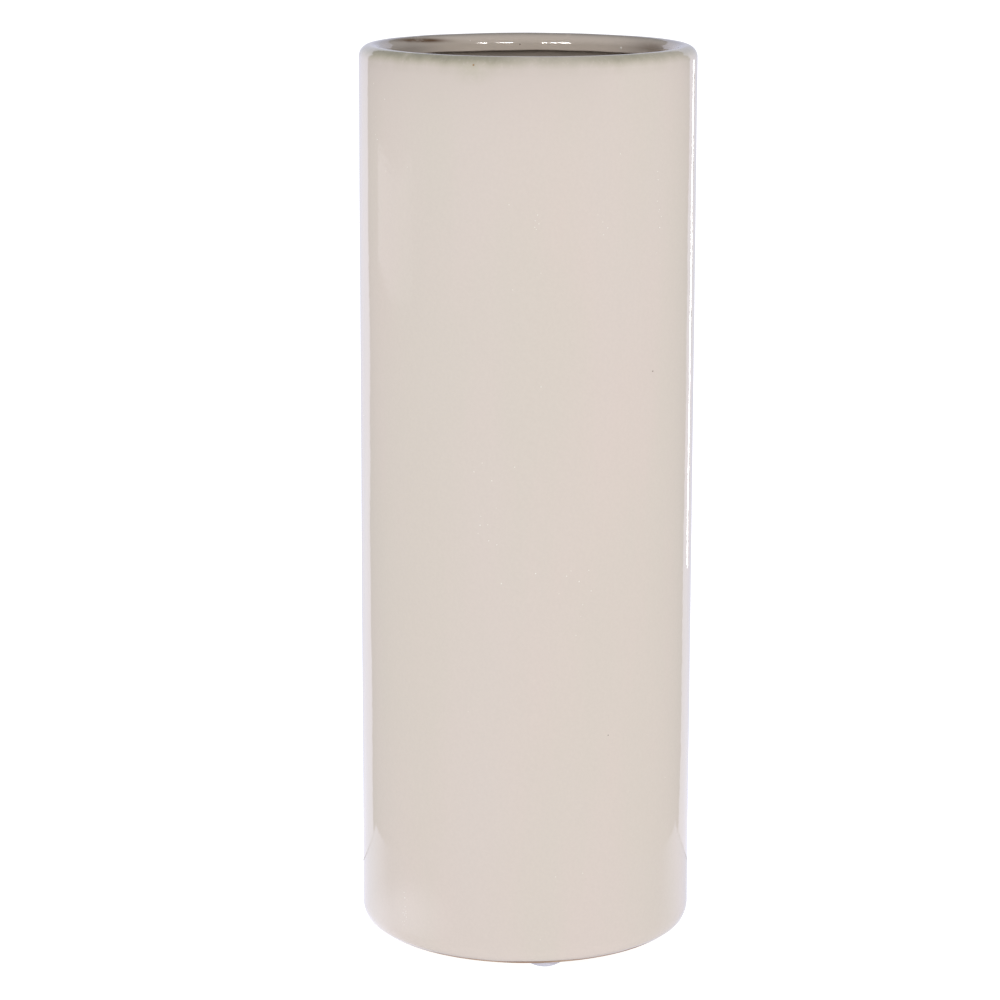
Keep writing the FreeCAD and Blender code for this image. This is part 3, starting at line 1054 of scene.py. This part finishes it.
def makeBoardCard():
    look = board
    finish, tree, glow = glowFinish("boardCard", backdrop["color"], 1.0)
    at = wherePoint(tree)
    # the lean is how far a point is round to the side, 0 straight behind
    behind = calc(tree, "ADD", at["Y"], clayRadius)
    lean = calc(tree, "DIVIDE", calc(tree, "ABSOLUTE", at["X"]), calc(tree, "MAXIMUM", behind, 0.001))
    wedge = spread(tree, lean, look["wedgeLean"], (1.0, 0.0), True)
    started = spread(tree, behind, (0.0, look["wedgeStarts"]), (0, 1), True)
    sideDim = spread(tree, at["X"], look["rightFrom"], (1.0, look["wedgeRight"]))
    lit = calc(tree, "MULTIPLY", calc(tree, "MULTIPLY", wedge, started), sideDim)
    strength = calc(tree, "ADD", calc(tree, "MULTIPLY", lit, look["wedgeGlow"]), look["glow"])
    # a soft gleam on the board near the left of the foot
    offX = calc(tree, "DIVIDE", calc(tree, "SUBTRACT", at["X"], look["gleamAt"][0]), look["gleamReach"][0])
    offY = calc(tree, "DIVIDE", calc(tree, "SUBTRACT", at["Y"], look["gleamAt"][1]), look["gleamReach"][1])
    squares = calc(tree, "ADD", calc(tree, "MULTIPLY", offX, offX), calc(tree, "MULTIPLY", offY, offY))
    gleam = spread(tree, calc(tree, "SQRT", squares), (0.0, 1.0), (look["gleamGlow"], 0.0), True)
    tree.links.new(calc(tree, "ADD", strength, gleam), glow.inputs["Strength"])
    half, front = look["half"], look["front"]
    rightBack = backdrop["nearRight"][1] - look["gap"]
    leftBack = backdrop["nearLeft"][1] - look["gap"]
    points = [(-half, front, cardLift), (half, front, cardLift), (half, rightBack, cardLift),
              (-half, leftBack, cardLift)]
    addCard("boardCard", points, finish)


# a dim sheet lying to the left, seen as a soft patch high on the left of the vase
sideSheet = {
    "color": (0.95, 0.95, 1, 1),
    "glow": (0.52, 0.72),        # at its near and far ends
    "ends": (-0.1, 1.1),
    "corners": ((-2.57, 1.58), (-1.73, 1.075), (-1.8, -0.19), (-3.0, -0.32)),
}


def makeSidePanel():
    finish, tree, glow = glowFinish("sidePanel", sideSheet["color"], 0.0)
    fade = spread(tree, wherePoint(tree)["Y"], sideSheet["ends"], sideSheet["glow"])
    tree.links.new(fade, glow.inputs["Strength"])
    addCard("sidePanel", [(x, y, cardLift) for x, y in sideSheet["corners"]], finish)


# bars: where each starts and ends round the vase, and its glow; the dim one is the lamp's edge
stripLights = {
    "centre": (0.063, -0.017),
    "distance": 0.67,
    "low": 0.002,
    "high": 0.3,
    "bars": ((151.4, 154.0, 6.0), (154.6, 156.2, 0.4)),
}


def makeStripLights():
    (centreX, centreY), reach = stripLights["centre"], stripLights["distance"]
    low, high = stripLights["low"], stripLights["high"]
    for number, (*degrees, brightness) in enumerate(stripLights["bars"], 1):
        finish = glowFinish("stripLight" + str(number), white, brightness)[0]
        (x1, y1), (x2, y2) = ((centreX + reach * math.sin(math.radians(d)),
                               centreY - reach * math.cos(math.radians(d))) for d in degrees)
        points = [(x1, y1, low), (x2, y2, low), (x2, y2, high), (x1, y1, high)]
        addCard("stripLight" + str(number), points, finish)


# thin bars just over the mouth, seen as dashes on the far side of the lip: start and end across, and glow
catchLights = {
    "y": -0.02,
    "low": 0.3545,
    "high": 0.3605,
    "bars": ((0.0095, 0.0228, 62.0), (0.029, 0.0402, 75.0), (-0.0117, -0.008, 85.0),
             (-0.0345, -0.0155, 95.0)),
}


def makeCatchLights():
    y, low, high = catchLights["y"], catchLights["low"], catchLights["high"]
    for number, (start, end, brightness) in enumerate(catchLights["bars"], 1):
        finish = glowFinish("catchLight" + str(number), white, brightness, oneSided=True)[0]
        points = [(end, y, low), (start, y, low), (start, y, high), (end, y, high)]
        addCard("catchLight" + str(number), points, finish)


# soft lamps: degrees from the front towards +X, degrees up, watts and tint
softboxes = {
    "side": 1.4,
    "distance": 2.2,
    "keyLight": (38, 35, 3.4, (1.0, 0.99, 0.88)),
    "fillLight": (-45, 30, 1.5, (1.0, 0.84, 0.86)),
}


def makeSoftbox(name, azimuth, elevation, power, color):
    light = bpy.data.lights.new(name, "AREA")
    light.shape = "SQUARE"
    light.size = softboxes["side"]
    light.energy = power
    light.color = color
    lamp = bpy.data.objects.new(name, light)
    scene.collection.objects.link(lamp)
    a, e = math.radians(azimuth), math.radians(elevation)
    away = Vector((math.sin(a) * math.cos(e), -math.cos(a) * math.cos(e), math.sin(e)))
    lamp.location = Vector((0, 0, 0.5 * coatHigh.z)) + away * softboxes["distance"]
    lamp.rotation_mode = "QUATERNION"
    lamp.rotation_quaternion = away.to_track_quat("Z", "Y")
    lamp.visible_camera = False
    lamp.visible_glossy = False


# how bright the sky is to the camera, as light, and in reflections
sky = {"seen": 1.0, "light": 0.93, "gloss": 0.28, "glossColor": (0.95, 0.97, 1, 1)}


def makeSky():
    world = bpy.data.worlds.new("studioSky")
    scene.world = world
    world.use_nodes = True
    tree = world.node_tree
    tree.nodes.clear()

    def glowing(color, strength):
        return addNode(tree, "ShaderNodeBackground", {"Color": color, "Strength": strength}).outputs[0]

    def choose(asked, usual, other):
        return addNode(tree, "ShaderNodeMixShader", {0: asked, 1: usual, 2: other}).outputs[0]

    path = addNode(tree, "ShaderNodeLightPath").outputs
    light = glowing(white, sky["light"])
    mixed = choose(path["Is Glossy Ray"], light, glowing(sky["glossColor"], sky["gloss"]))
    final = choose(path["Is Camera Ray"], mixed, glowing(white, sky["seen"]))
    addNode(tree, "ShaderNodeOutputWorld", {0: final})


view = {
    "distance": 1.3744,
    "aboveFoot": 0.4542,
    "down": 0.20288,
    "turnedLeft": 0.0076,
    "roll": 0.002,
    "lens": 128.36,
    "sensor": 36.0,
    "near": 0.05,
    "far": 50.0,
}


def makeCamera():
    data = bpy.data.cameras.new("camera")
    data.sensor_width = view["sensor"]
    data.lens = view["lens"]
    data.clip_start = view["near"]
    data.clip_end = view["far"]
    camera = bpy.data.objects.new("camera", data)
    scene.collection.objects.link(camera)
    aim = Matrix.Rotation(view["turnedLeft"], 4, "Z") @ Matrix.Rotation(math.pi / 2 - view["down"], 4, "X")
    aim = aim @ Matrix.Rotation(view["roll"], 4, "Z")
    camera.matrix_world = Matrix.Translation((0, -view["distance"], footHeight + view["aboveFoot"])) @ aim
    scene.camera = camera


makeFloor()
makeBackdropCard()
makeBoardCard()
makeSidePanel()
makeStripLights()
makeCatchLights()
makeSoftbox("keyLight", *softboxes["keyLight"])
makeSoftbox("fillLight", *softboxes["fillLight"])
makeSky()
makeCamera()
scene.view_settings.view_transform = "Standard"
print("studio ready")
